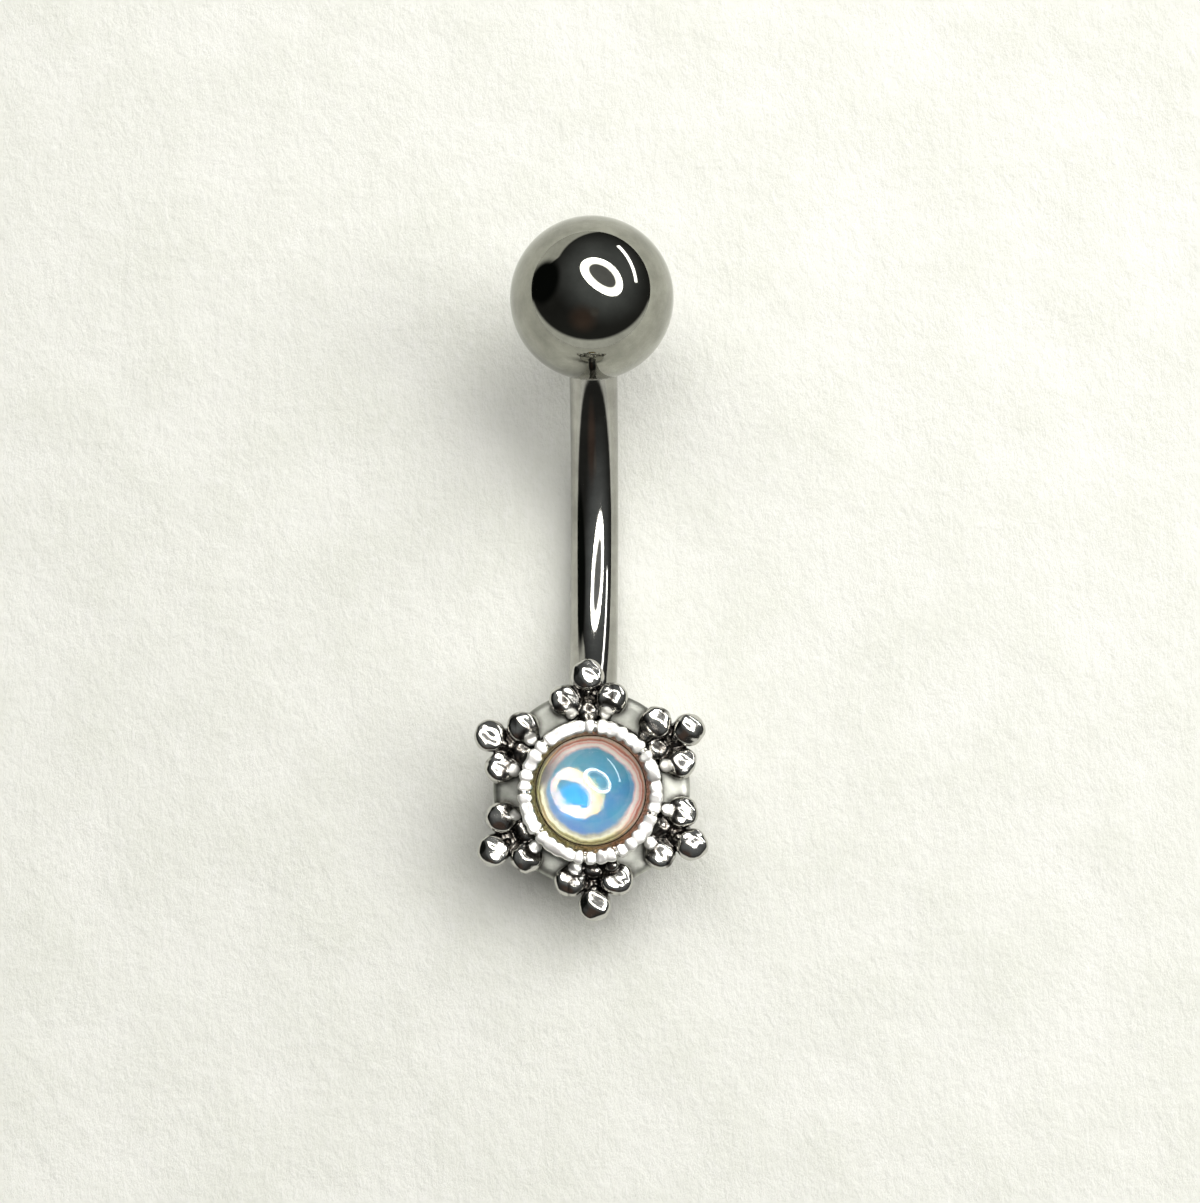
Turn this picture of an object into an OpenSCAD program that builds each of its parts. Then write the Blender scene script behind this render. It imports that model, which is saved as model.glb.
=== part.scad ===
// Curved barbell: a screw-on ball, a bent bar and a cast flower setting with a domed stone.
// The bend lies in the YZ plane. Each piece is drawn about the centre of the bend, with the
// setting facing +Z, and place() then lays the whole piece down as it rests on a flat surface.

/* [Ball] */
// Diameter of the screw-on ball
ball_d = 5; // [4.5:0.1:5.5]
// Diameter of the flat on the ball that seats on the bar
ball_flat_d = 1.64; // [1.6:0.02:1.9]
// Depth of the blind hole in the ball
ball_hole_l = 2.8; // [2.7:0.1:3.2]

/* [Bar] */
// Diameter of the bar
bar_d = 1.5; // [1.3:0.05:1.6]
// Radius of the bend along the bar's middle line
bend_r = 8.45; // [8:0.05:9]
// Angle of the bend from its middle to the ball's seat
ball_side_angle = 35; // [32:0.5:38]
// Angle of the bend from its middle to the straight end in the setting
setting_side_angle = 37; // [35:0.5:38]
// Diameter of the stud that the ball screws onto
stud_d = 1.2; // [1:0.05:1.2]
// Length of the stud
stud_l = 2.5; // [2:0.1:2.6]
// Length of the full-width end inside the setting
shank_l = 1; // [0.8:0.1:1.2]
// Diameter of the peg beyond it
peg_d = 1; // [0.8:0.05:1.1]
// Length of the peg
peg_l = 1; // [0.6:0.1:1.2]

/* [Setting] */
// Distance of the setting's axis from the middle of the bend, along the face
setting_reach = 8.15; // [8:0.05:8.4]
// Height of the centre of the bend over the plane of the beads
bead_plane_drop = 4.85; // [4.7:0.05:5]
// Diameter of the round cup
cup_d = 6; // [5.8:0.1:6.2]
// Depth of the cup's back under the plane of the beads
cup_depth = 2.75; // [2.6:0.05:3]
// Diameter of the flat on the cup's back
cup_flat_d = 4.6; // [4:0.1:4.8]
// Radius of the rounded edge round the flat
cup_edge_r = 0.45; // [0.3:0.05:0.5]
// Depth of the cup's shoulder under the plane of the beads
shoulder_depth = 0.25; // [0.2:0.05:0.35]

/* [Bezel] */
// Outer diameter of the bezel wall
bezel_d = 4.24; // [4.1:0.02:4.4]
// Diameter of the seat for the stone
seat_d = 3.36; // [3.3:0.02:3.44]
// Height of the seat's floor over the plane of the beads
seat_z = 0.05; // [0:0.05:0.1]
// Height of the middle of the rim's grains over the plane of the beads
rim_z = 0.75; // [0.65:0.05:0.9]
// Diameter of the circle that the rim's grains stand on
rim_d = 3.93; // [3.9:0.01:3.96]
// Diameter of a grain
grain_d = 0.46; // [0.44:0.01:0.48]
// Height over the plane of the beads where the slope inside the rim begins
bevel_z = 0.4; // [0.35:0.05:0.5]
// Width of that slope, seen from above
bevel_w = 0.12; // [0.08:0.02:0.14]
// Number of grains round the rim
grains = 38; // [34:1:42]

/* [Bead clusters] */
// Number of clusters round the setting
clusters = 6; // [6]
// Turn of the clusters from the bar's plane
cluster_turn = 1.8; // [0:0.1:3]
// Diameter of a bead
bead_d = 1; // [0.9:0.02:1.04]
// Distance of the tip bead from the setting's axis
tip_bead_r = 3.46; // [3.4:0.02:3.5]
// Distance of the two side beads from the setting's axis
side_bead_r = 2.82; // [2.78:0.02:2.86]
// Angle between the tip bead and a side bead, seen from the axis
side_bead_angle = 14.5; // [14:0.1:15]
// Radius of a bead's flatter crown, as a share of the bead's diameter
crown_r_share = 0.85; // [0.75:0.05:1]
// Height of that crown over the bead's middle, as a share of the bead's diameter
crown_top_share = 0.34; // [0.3:0.01:0.38]
// Diameter of the lower bead in the middle of a cluster
middle_bead_d = 0.72; // [0.7:0.02:0.8]
// Diameter of the bead that joins a cluster to the bezel
neck_bead_d = 0.72; // [0.7:0.02:0.8]
// Diameter of the small bead on each side of that one
small_bead_d = 0.48; // [0.44:0.02:0.52]

/* [Stone] */
// Diameter of the stone
stone_d = 3.3; // [3.2:0.02:3.32]
// Height of the straight edge of the stone
girdle_h = 0.1; // [0.05:0.05:0.2]
// Height of the dome over that edge
dome_h = 1.45; // [1.2:0.05:1.5]
// Thickness of the foil under the stone
foil_t = 0.08; // [0.06:0.01:0.1]

/* [Fits] */
// Radial clearance of the stud in the ball
stud_clearance = 0.06; // [0.03:0.01:0.1]
// Gap between fixed pieces
gap = 0.03; // [0.02:0.01:0.03]

/* [Hidden] */
$fn = 64;

bar_r = bar_d / 2;
ball_r = ball_d / 2;
// Distance from the ball's centre to its flat
ball_flat_h = sqrt(pow(ball_r, 2) - pow(ball_flat_d / 2, 2));
tip_cone_l = 0.25;
tip_cone_d = 0.7 * stud_d;

cup_r = cup_d / 2;
cup_flat_r = cup_flat_d / 2;
cup_side_r = cup_flat_r + cup_edge_r;
shoulder_edge_r = 0.15;
cup_straight_h = 0.6;

bead_r = bead_d / 2;
neck_bead_r = 2.36;
neck_bead_z = -0.04;
small_bead_r = 2.38;
small_bead_z = 0.03;
small_bead_angle = 13;
middle_bead_r = 2.98;
middle_bead_z = -0.16;
under_bead_d = 0.86;
under_bead_r = 3.04;
under_bead_z = -0.42;

foil_z = seat_z + gap;
stone_z = foil_z + foil_t + gap;
dome_sphere_r = (pow(stone_d / 2, 2) + pow(dome_h, 2)) / (2 * dome_h);

// Radius of the bend's outer side, which the piece rocks on
belly_r = bend_r + bar_r;
// The cup's rounded back edge, seen along X: the piece tips until this edge meets the surface
edge_y = -setting_reach - cup_flat_r;
edge_z = -bead_plane_drop - cup_depth + cup_edge_r;
edge_way = norm([edge_y, edge_z]);
rest_tilt = atan2(edge_y, edge_z) + acos((cup_edge_r - belly_r) / edge_way);

// Direction and middle of each bead, measured round the setting's axis
function cluster_angle(n) = 90 + cluster_turn + n * 360 / clusters;
function on_circle(r, angle) = [r * cos(angle), r * sin(angle)];
tip_beads = [for (n = [0 : clusters - 1]) on_circle(tip_bead_r, cluster_angle(n))];

// A point of the setting's bead plane, and the ball's centre, once the piece is laid down
function laid_y(p) = (p[1] - setting_reach) * cos(rest_tilt) + bead_plane_drop * sin(rest_tilt);
ball_y = bend_r * sin(ball_side_angle) + (ball_flat_h + gap) * cos(ball_side_angle);
ball_z = -bend_r * cos(ball_side_angle) + (ball_flat_h + gap) * sin(ball_side_angle);
laid_ball_y = ball_y * cos(rest_tilt) - ball_z * sin(rest_tilt);

// Middle of the whole piece, so that the origin is under it
mid_x = (min([for (p = tip_beads) p[0]]) + max([for (p = tip_beads) p[0]])) / 2;
low_y = min([for (p = tip_beads) laid_y(p)]) - bead_r;
mid_y = (low_y + laid_ball_y + ball_r) / 2;

// Lays the piece down: the bend and the cup's back edge meet the surface at z = 0
module place() {
    translate([-mid_x, -mid_y, belly_r]) rotate([rest_tilt, 0, 0]) children();
}

// +Z runs out of the bar towards the ball
module at_ball_seat() {
    translate([0, bend_r * sin(ball_side_angle), -bend_r * cos(ball_side_angle)])
        rotate([ball_side_angle - 90, 0, 0]) children();
}

// +Z runs along the bar into the setting
module at_setting_end() {
    translate([0, -bend_r * sin(setting_side_angle), -bend_r * cos(setting_side_angle)])
        rotate([90 - setting_side_angle, 0, 0]) children();
}

// The middle of the bead plane, facing +Z
module at_setting() {
    translate([0, -setting_reach, -bead_plane_drop]) children();
}

module bend() {
    rotate([90, 0, 90]) rotate([0, 0, 270 - setting_side_angle])
        rotate_extrude(angle = setting_side_angle + ball_side_angle)
            translate([bend_r, 0]) circle(d = bar_d);
}

module stud() {
    translate([0, 0, -bar_d]) cylinder(d = stud_d, h = bar_d + stud_l - tip_cone_l);
    translate([0, 0, stud_l - tip_cone_l])
        cylinder(d1 = stud_d, d2 = tip_cone_d, h = tip_cone_l);
}

module bar() {
    color("silver") place() {
        bend();
        at_ball_seat() stud();
        at_setting_end() {
            cylinder(d = bar_d, h = shank_l);
            translate([0, 0, -bar_d]) cylinder(d = peg_d, h = bar_d + shank_l + peg_l);
        }
    }
}

module ball() {
    color("gainsboro") place() at_ball_seat() translate([0, 0, gap]) difference() {
        translate([0, 0, ball_flat_h]) sphere(d = ball_d);
        translate([0, 0, -ball_r]) cylinder(d = ball_d, h = ball_r);
        translate([0, 0, -gap]) cylinder(d = stud_d + 2 * stud_clearance, h = ball_hole_l + gap);
    }
}

// The round cup: shoulder, straight side, tapered side and flat back with a rounded edge
module cup() {
    side_z = -shoulder_depth - shoulder_edge_r;
    edge_mid_z = -cup_depth + cup_edge_r;
    rotate_extrude() {
        polygon([
            [0, -shoulder_depth],
            [cup_r - shoulder_edge_r, -shoulder_depth],
            [cup_r, side_z],
            [cup_r, side_z - cup_straight_h],
            [cup_side_r, edge_mid_z],
            [cup_flat_r, -cup_depth],
            [0, -cup_depth],
        ]);
        translate([cup_r - shoulder_edge_r, side_z]) circle(r = shoulder_edge_r);
        translate([cup_flat_r, edge_mid_z]) circle(r = cup_edge_r);
    }
}

// The wall round the stone
module bezel() {
    translate([0, 0, -2 * shoulder_depth]) cylinder(d = bezel_d, h = 2 * shoulder_depth + rim_z);
}

// The slope inside the rim, down to the seat
module bevel() {
    bevel_h = rim_z - bevel_z;
    translate([0, 0, bevel_z])
        cylinder(d1 = seat_d, d2 = seat_d + 4 * bevel_w, h = 2 * bevel_h);
}

// The rim on top of that wall, a closed ring of grains that run into each other
module rim() {
    for (n = [0 : grains - 1])
        rotate([0, 0, (n + 0.5) * 360 / grains]) translate([rim_d / 2, 0, rim_z]) sphere(d = grain_d);
}

// A round bead with a flatter crown
module bead(d) {
    crown_r = crown_r_share * d;
    intersection() {
        sphere(d = d);
        translate([0, 0, crown_top_share * d - crown_r]) sphere(r = crown_r);
    }
}

module bead_at(r, angle, z, d) {
    rotate([0, 0, angle]) translate([r, 0, z]) bead(d);
}

// One cluster, along +X: three beads round a lower one, on smaller beads beside the bezel
module cluster() {
    bead_at(tip_bead_r, 0, 0, bead_d);
    bead_at(middle_bead_r, 0, middle_bead_z, middle_bead_d);
    bead_at(neck_bead_r, 0, neck_bead_z, neck_bead_d);
    for (side = [-1, 1]) {
        bead_at(side_bead_r, side * side_bead_angle, 0, bead_d);
        bead_at(small_bead_r, side * small_bead_angle, small_bead_z, small_bead_d);
    }
    translate([under_bead_r, 0, under_bead_z]) sphere(d = under_bead_d);
}

// The hole for the end of the bar
module socket() {
    translate([0, 0, -bar_d]) cylinder(d = bar_d + 2 * gap, h = bar_d + shank_l + gap);
    cylinder(d = peg_d + 2 * gap, h = shank_l + peg_l + gap);
}

module setting() {
    color("lightgray") place() difference() {
        at_setting() {
            difference() {
                union() {
                    cup();
                    bezel();
                }
                translate([0, 0, seat_z]) cylinder(d = seat_d, h = 2 * rim_z);
                bevel();
            }
            rim();
            for (n = [0 : clusters - 1]) rotate([0, 0, cluster_angle(n)]) cluster();
        }
        at_setting_end() socket();
    }
}

module foil_back() {
    color("steelblue") place() at_setting() translate([0, 0, foil_z]) cylinder(d = stone_d, h = foil_t);
}

module cabochon() {
    color("skyblue") place() at_setting() translate([0, 0, stone_z]) {
        cylinder(d = stone_d, h = girdle_h);
        intersection() {
            translate([0, 0, girdle_h + dome_h - dome_sphere_r]) sphere(r = dome_sphere_r);
            translate([0, 0, girdle_h / 2]) cylinder(d = stone_d, h = 2 * dome_h);
        }
    }
}

bar();
ball();
setting();
foil_back();
cabochon();
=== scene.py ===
"""Looks of the curved barbell: polished ball, bent bar, cast flower setting, glass stone and foil."""

import math
import random

import bmesh
import bpy
import numpy as np
from mathutils import Matrix, Vector


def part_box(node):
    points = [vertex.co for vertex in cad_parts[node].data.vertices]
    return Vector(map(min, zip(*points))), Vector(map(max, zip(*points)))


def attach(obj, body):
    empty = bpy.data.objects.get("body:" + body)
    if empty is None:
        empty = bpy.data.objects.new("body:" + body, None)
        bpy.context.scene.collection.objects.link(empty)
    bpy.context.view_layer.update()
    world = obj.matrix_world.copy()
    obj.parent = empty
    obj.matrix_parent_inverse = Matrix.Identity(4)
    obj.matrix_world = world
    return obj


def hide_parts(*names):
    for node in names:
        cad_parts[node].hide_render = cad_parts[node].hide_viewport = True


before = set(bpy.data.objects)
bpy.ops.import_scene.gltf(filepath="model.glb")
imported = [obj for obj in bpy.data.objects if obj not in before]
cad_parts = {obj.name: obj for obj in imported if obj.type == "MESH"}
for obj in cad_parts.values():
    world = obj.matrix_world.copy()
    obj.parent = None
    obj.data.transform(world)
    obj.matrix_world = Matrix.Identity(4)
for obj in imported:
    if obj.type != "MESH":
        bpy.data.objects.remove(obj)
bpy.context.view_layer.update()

# Driving sizes of the part, in millimetres, as in its CAD source
BALL_R = 2.5
BALL_FLAT_R = 0.82
BALL_HOLE_L = 2.8
BAR_R = 0.75
BEND_R = 8.45
BALL_SIDE_ANGLE = math.radians(35)
SETTING_SIDE_ANGLE = math.radians(37)
STUD_R = 0.6
STUD_L = 2.5
SHANK_L = 1.0
PEG_R = 0.5
PEG_L = 1.0
SETTING_REACH = 8.15
BEAD_PLANE_DROP = 4.85
CUP_R = 3.0
CUP_DEPTH = 2.75
CUP_FLAT_R = 2.3
CUP_EDGE_R = 0.45
SHOULDER_DEPTH = 0.25
BEZEL_R = 2.12
SEAT_R = 1.68
SEAT_Z = 0.05
RIM_R = 1.965
RIM_Z = 0.75
RIM_TOP = 0.98
BEVEL_Z = 0.4
GRAINS = 38
CLUSTERS = 6
CLUSTER_TURN = math.radians(1.8)
BEAD_R = 0.5
BEAD_CROWN_R = 0.85
BEAD_TOP = 0.34
TIP_BEAD_R = 3.46
SIDE_BEAD_R = 2.82
SIDE_BEAD_ANGLE = math.radians(14.5)
STONE_R = 1.65
GIRDLE_H = 0.1
DOME_H = 1.45
FOIL_T = 0.08
GAP = 0.03

# Radius of the first ring of points round a pole of a turned body
POLE_R = 0.001

MM = 0.001
UP = Vector((0, 0, 1))
ALONG_X = Vector((1, 0, 0))
rng = random.Random(7)


# Where the part lies
ball_flat_h = math.sqrt(BALL_R ** 2 - BALL_FLAT_R ** 2)
edge_y = -SETTING_REACH - CUP_FLAT_R
edge_z = -BEAD_PLANE_DROP - CUP_DEPTH + CUP_EDGE_R
belly_r = BEND_R + BAR_R
rest_tilt = math.atan2(edge_y, edge_z) + math.acos((CUP_EDGE_R - belly_r) / math.hypot(edge_y, edge_z))


def bend_point(angle, radius=BEND_R):
    """A point of the bend, angle 0 at its middle and growing towards the ball."""
    return Vector((0, radius * math.sin(angle), -radius * math.cos(angle)))


def bend_way(angle):
    """The bend's direction there, towards the ball."""
    return Vector((0, math.cos(angle), math.sin(angle)))


seat_way = bend_way(BALL_SIDE_ANGLE)
ball_flat_middle = bend_point(BALL_SIDE_ANGLE) + GAP * seat_way
ball_middle = ball_flat_middle + ball_flat_h * seat_way
tipped = Matrix.Rotation(rest_tilt, 4, "X")
box_low, box_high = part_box("ball")
laid_offset = Vector((0, (box_low.y + box_high.y) / 2 / MM - (tipped @ ball_middle).y, belly_r))
TO_FRAME = Matrix.Scale(MM, 4) @ Matrix.Translation(laid_offset) @ tipped


# Mesh making
def new_piece(name, points, faces, matrix=TO_FRAME, sharp=math.radians(35)):
    """A mesh object with smooth shading, from points in millimetres."""
    mesh = bpy.data.meshes.new(name)
    mesh.from_pydata([tuple(p) for p in points], [], [tuple(int(i) for i in f) for f in faces])
    work = bmesh.new()
    work.from_mesh(mesh)
    bmesh.ops.recalc_face_normals(work, faces=work.faces)
    work.to_mesh(mesh)
    work.free()
    mesh.transform(matrix)
    mesh.shade_smooth()
    mesh.set_sharp_from_angle(angle=sharp)
    piece = bpy.data.objects.new(name, mesh)
    bpy.context.scene.collection.objects.link(piece)
    return piece


def ring_faces(rows, around):
    """Quads between rows of points, with a single point before the first row and after the last."""
    faces = [(0, 1 + (k + 1) % around, 1 + k) for k in range(around)]
    for row in range(rows - 1):
        first = 1 + row * around
        for k in range(around):
            after = (k + 1) % around
            faces.append((first + k, first + after, first + around + after, first + around + k))
    last = 1 + (rows - 1) * around
    end = 1 + rows * around
    faces += [(last + k, last + (k + 1) % around, end) for k in range(around)]
    return faces


def turned(name, rows, around, middle=Vector(), way=UP):
    """A turned body: rows of (height, radius or a function of the angle) along way, closed at both ends."""
    side = ALONG_X
    other = way.cross(side)
    points = [middle + rows[0][0] * way]
    for height, radius in rows:
        for k in range(around):
            angle = math.tau * k / around
            r = radius(angle) if callable(radius) else radius
            points.append(middle + height * way + r * (math.cos(angle) * side + math.sin(angle) * other))
    points.append(middle + rows[-1][0] * way)
    return new_piece(name, points, ring_faces(len(rows), around))


def swept(name, rows, around):
    """A bar through rows of (middle, way, radius or a function of the angle), closed at both ends."""
    points = [rows[0][0]]
    for middle, way, radius in rows:
        other = way.cross(ALONG_X)
        for k in range(around):
            angle = math.tau * k / around
            r = radius(angle) if callable(radius) else radius
            points.append(middle + r * (math.cos(angle) * ALONG_X + math.sin(angle) * other))
    points.append(rows[-1][0])
    return new_piece(name, points, ring_faces(len(rows), around))


# The bar and its threaded stud
THREAD_PITCH = 0.25
THREAD_DEPTH = 0.11
THREAD_STEP = THREAD_PITCH / 8
THREAD_FLANK = 1.25
THREAD_FADE_START = 0.3
THREAD_FADE_ROWS = 10
THREAD_END_H = 0.2
STUD_CONE_L = 0.25
STUD_NECK_H = 0.12
STUD_TIP_SHARES = (0.35, 0.7)
BAR_ROWS = 120
ROUND = 96
EDGE = 0.05


def thread_radius(height, root, crest, fade):
    """The radius of a screw thread at a height, as a function of the angle round it."""
    def radius(angle):
        turn = height / THREAD_PITCH - angle / math.tau
        ridge = abs(2 * (turn - math.floor(turn)) - 1)
        return root + (crest - root) * fade * min(1.0, THREAD_FLANK * ridge)
    return radius


def build_bar():
    rows = []
    tip = bend_point(BALL_SIDE_ANGLE)
    neck_r = STUD_R - THREAD_DEPTH
    for share in STUD_TIP_SHARES:
        rows.append((tip + STUD_L * seat_way, seat_way, share * STUD_R))
    count = int((STUD_L - STUD_CONE_L - THREAD_END_H) / THREAD_STEP)
    for n in range(count + 1):
        height = STUD_L - STUD_CONE_L - n * THREAD_STEP
        fade = min(1.0, THREAD_FADE_START + min(n, count - n) / THREAD_FADE_ROWS)
        rows.append((tip + height * seat_way, seat_way, thread_radius(height, neck_r, STUD_R, fade)))
    rows.append((tip + STUD_NECK_H * seat_way, seat_way, neck_r))
    rows.append((tip, seat_way, neck_r))
    rows.append((tip, seat_way, BAR_R - EDGE))
    edge_angle = EDGE / BEND_R
    for n in range(BAR_ROWS + 1):
        share = n / BAR_ROWS
        angle = BALL_SIDE_ANGLE - edge_angle - share * (BALL_SIDE_ANGLE + SETTING_SIDE_ANGLE - edge_angle)
        rows.append((bend_point(angle), bend_way(angle), BAR_R))
    end = bend_point(-SETTING_SIDE_ANGLE)
    end_way = -bend_way(-SETTING_SIDE_ANGLE)
    rows.append((end + (SHANK_L - EDGE) * end_way, -end_way, BAR_R))
    rows.append((end + SHANK_L * end_way, -end_way, BAR_R - EDGE))
    rows.append((end + SHANK_L * end_way, -end_way, PEG_R))
    rows.append((end + (SHANK_L + PEG_L - EDGE) * end_way, -end_way, PEG_R))
    rows.append((end + (SHANK_L + PEG_L) * end_way, -end_way, PEG_R - EDGE))
    return swept("bent_bar", rows, ROUND)


# The ball and its threaded hole
HOLE_SLACK = 0.02
HOLE_THREAD_DEPTH = 0.08
HOLE_END_L = 0.1
HOLE_PLAIN_L = 0.25
HOLE_FADE_ROWS = 8
HOLE_CHAMFER = 0.06
FLAT_EDGE = 0.03
FLAT_EDGE_ANGLE = 0.01
BALL_LINES = 120


def build_ball():
    hole_crest = STUD_R + HOLE_SLACK
    hole_root = hole_crest + HOLE_THREAD_DEPTH
    rows = [(BALL_HOLE_L, 0.3 * hole_crest), (BALL_HOLE_L, hole_crest)]
    count = int((BALL_HOLE_L - HOLE_PLAIN_L) / THREAD_STEP)
    for n in range(count + 1):
        height = BALL_HOLE_L - HOLE_END_L - n * THREAD_STEP
        fade = min(1.0, min(n, count - n) / HOLE_FADE_ROWS)
        rows.append((height, thread_radius(height, hole_crest, hole_root, fade)))
    rows.append((HOLE_END_L, hole_crest))
    rows.append((0.0, hole_crest + HOLE_CHAMFER))
    rows.append((0.0, BALL_FLAT_R - FLAT_EDGE))
    start = math.asin(BALL_FLAT_R / BALL_R) + FLAT_EDGE_ANGLE
    for n in range(BALL_LINES):
        angle = start + (math.pi - start) * n / BALL_LINES
        rows.append((ball_flat_h - BALL_R * math.cos(angle), BALL_R * math.sin(angle)))
    rows.append((ball_flat_h + BALL_R, POLE_R))
    return turned("polished_ball", rows, 2 * ROUND, ball_flat_middle, seat_way)


# Solid fields, negative inside, in millimetres about the middle of the setting's bead plane
def join(a, b, blend):
    """Both shapes, run together over the width of blend."""
    share = np.clip(0.5 + 0.5 * (b - a) / blend, 0, 1)
    return b * (1 - share) + a * share - blend * share * (1 - share)


def common(a, b, blend):
    """What two shapes share, with the edge rounded."""
    return -join(-a, -b, blend)


def ball_field(p, middle, radius):
    return np.linalg.norm(p - np.array(middle), axis=1) - radius


CROWN_BLEND = 0.05


def bead_field(p, middle, radius, top, lean):
    """A round bead with a flatter crown, which leans a little to one side."""
    crown_r = BEAD_CROWN_R * radius / BEAD_R
    crown = np.array(middle) + (crown_r * lean[0], crown_r * lean[1], top - crown_r)
    blend = CROWN_BLEND * radius / BEAD_R
    return common(ball_field(p, middle, radius), ball_field(p, crown, crown_r), blend)


def random_waves(count, shortest, longest, height):
    """Plane waves in random directions, whose sum makes a soft unevenness of about that height."""
    waves = []
    for _ in range(count):
        way = Vector([rng.gauss(0, 1) for _ in range(3)]).normalized()
        length = rng.uniform(shortest, longest)
        start = rng.uniform(0, math.tau)
        waves.append((np.array(way) * math.tau / length, start, height / math.sqrt(count)))
    return waves


def unevenness(p, waves):
    return sum(height * np.sin(p @ way + start) for way, start, height in waves)


def post(p, way_point, way, radius, length):
    """A round rod from a point along a direction."""
    q = p - np.array(way_point)
    along = q @ np.array(way)
    off = np.linalg.norm(q - along[:, None] * np.array(way), axis=1)
    return np.maximum(off - radius, np.maximum(-along, along - length))


def polar(radius, angle, height=0.0):
    return (radius * math.cos(angle), radius * math.sin(angle), height)


CUP_STRAIGHT_L = 0.75
TAPER_BLEND = 0.12
SHOULDER_BLEND = 0.3
FOOT_BLEND = 0.9


def cup_field(p):
    """The cup: a flat shoulder, a short straight side, and a taper to its rounded foot."""
    ring = np.hypot(p[:, 0], p[:, 1])
    z = p[:, 2]
    straight_end = -SHOULDER_DEPTH - CUP_STRAIGHT_L
    foot = np.array((CUP_FLAT_R + CUP_EDGE_R, -CUP_DEPTH + CUP_EDGE_R))
    slope = np.array((CUP_R, straight_end)) - foot
    slope /= np.linalg.norm(slope)
    taper = (ring - foot[0]) * slope[1] - (z - foot[1]) * slope[0]
    side = common(ring - CUP_R, taper, TAPER_BLEND)
    top = common(z + SHOULDER_DEPTH, side, SHOULDER_BLEND)
    return common(top, -z - CUP_DEPTH, FOOT_BLEND)


RIM_POWER = 5
RIM_HALF_WIDTH = 0.225
RIM_HALF_HEIGHT = 0.2
INNER_NICK = 0.45
OUTER_NICK = 0.35
NICK_DIP = 0.025
LUMP_GAP = 1.7


def rim_field(p, sizes, nicks):
    """The rolled rim: a broad crest with a nick of its own depth between each two grains."""
    ring = np.hypot(p[:, 0], p[:, 1])
    turn = (np.arctan2(p[:, 1], p[:, 0]) / math.tau * GRAINS) % GRAINS
    which = np.floor(turn).astype(int) % GRAINS
    edge = 0.5 + 0.5 * np.cos(math.tau * turn)
    nick = nicks[np.round(turn).astype(int) % GRAINS]
    nick = nick * edge ** np.where(nick > 1, 3, 2)
    size = 1 + (sizes[which] - 1) * (1 - edge)
    depth = np.where(ring < RIM_R, INNER_NICK, OUTER_NICK)
    half_width = RIM_HALF_WIDTH * (1 - depth * nick) * size
    u = np.abs(ring - RIM_R) / half_width
    v = np.abs(p[:, 2] - RIM_TOP + RIM_HALF_HEIGHT + NICK_DIP * nick ** 2) / RIM_HALF_HEIGHT
    return ((u ** RIM_POWER + v ** RIM_POWER) ** (1 / RIM_POWER) - 1) * RIM_HALF_WIDTH


# How far the beads' crowns are set off their middles, as a share of the crown's radius
CROWN_SHIFT = (-0.06, -0.11)
CROWN_OUT = 0.05
CROWN_WOBBLE = 0.09
BEAD_BLEND = 0.05
# Beads on a cluster's middle line: way out, height, radius, crown's height and blend
HOLLOW_BEAD = (2.98, -0.16, 0.36, 0.27, 0.05)
DOT_BEAD = (2.98, 0.09, 0.13, 0.13, 0.02)
ROOT_BEAD = (2.36, -0.1, 0.36, 0.27, 0.06)
BACK_BEAD = (3.04, -0.42, 0.43, 0.36, 0.12)
# The two small beads at a cluster's neck
NECK_BEAD_OUT = 2.38
NECK_BEAD_ANGLE = math.radians(13)
NECK_BEAD_TOP = 0.2
NECK_CROWN_WOBBLE = 0.2


def cluster_angles():
    return [math.radians(90) + CLUSTER_TURN + n * math.tau / CLUSTERS for n in range(CLUSTERS)]


def setting_shapes():
    """The beads of every cluster, as (middle, radius, top, lean, blend)."""
    shapes = []

    def bead(turn, out, height, size, top, blend, wobble=CROWN_WOBBLE):
        outward = polar(CROWN_OUT, turn)
        lean = tuple(CROWN_SHIFT[k] + outward[k] + rng.uniform(-wobble, wobble) for k in (0, 1))
        shapes.append((polar(out, turn, height), size, top, lean, blend))

    for angle in cluster_angles():
        for out, turn in ((TIP_BEAD_R, 0), (SIDE_BEAD_R, -SIDE_BEAD_ANGLE), (SIDE_BEAD_R, SIDE_BEAD_ANGLE)):
            size = BEAD_R * rng.uniform(0.97, 1.0)
            bead(angle + turn, out, rng.uniform(-0.03, 0.03), size, BEAD_TOP, BEAD_BLEND)
        bead(angle, *HOLLOW_BEAD)
        bead(angle, *DOT_BEAD)
        bead(angle, *ROOT_BEAD)
        for turn in (-NECK_BEAD_ANGLE, NECK_BEAD_ANGLE):
            side = angle + turn + rng.uniform(-0.02, 0.02)
            height = rng.uniform(0.0, 0.06)
            size = rng.uniform(0.22, 0.26)
            bead(side, NECK_BEAD_OUT, height, size, NECK_BEAD_TOP, BEAD_BLEND, NECK_CROWN_WOBBLE)
        bead(angle, *BACK_BEAD)
    return shapes


SHAPES = setting_shapes()
GRAIN_SIZES = np.array([rng.uniform(0.9, 1.08) for _ in range(GRAINS)])
NICKS = np.array([rng.choice((0.3, 0.5, 0.75)) for _ in range(GRAINS)])
LUMP_ENDS = np.cumsum([rng.choice((3, 4, 5)) for _ in range(GRAINS)])
NICKS[LUMP_ENDS[LUMP_ENDS < GRAINS]] = LUMP_GAP
CAST_WAVES = random_waves(count=16, shortest=0.26, longest=0.7, height=0.017)
to_setting = Vector((0, -SETTING_REACH, -BEAD_PLANE_DROP))
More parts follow.
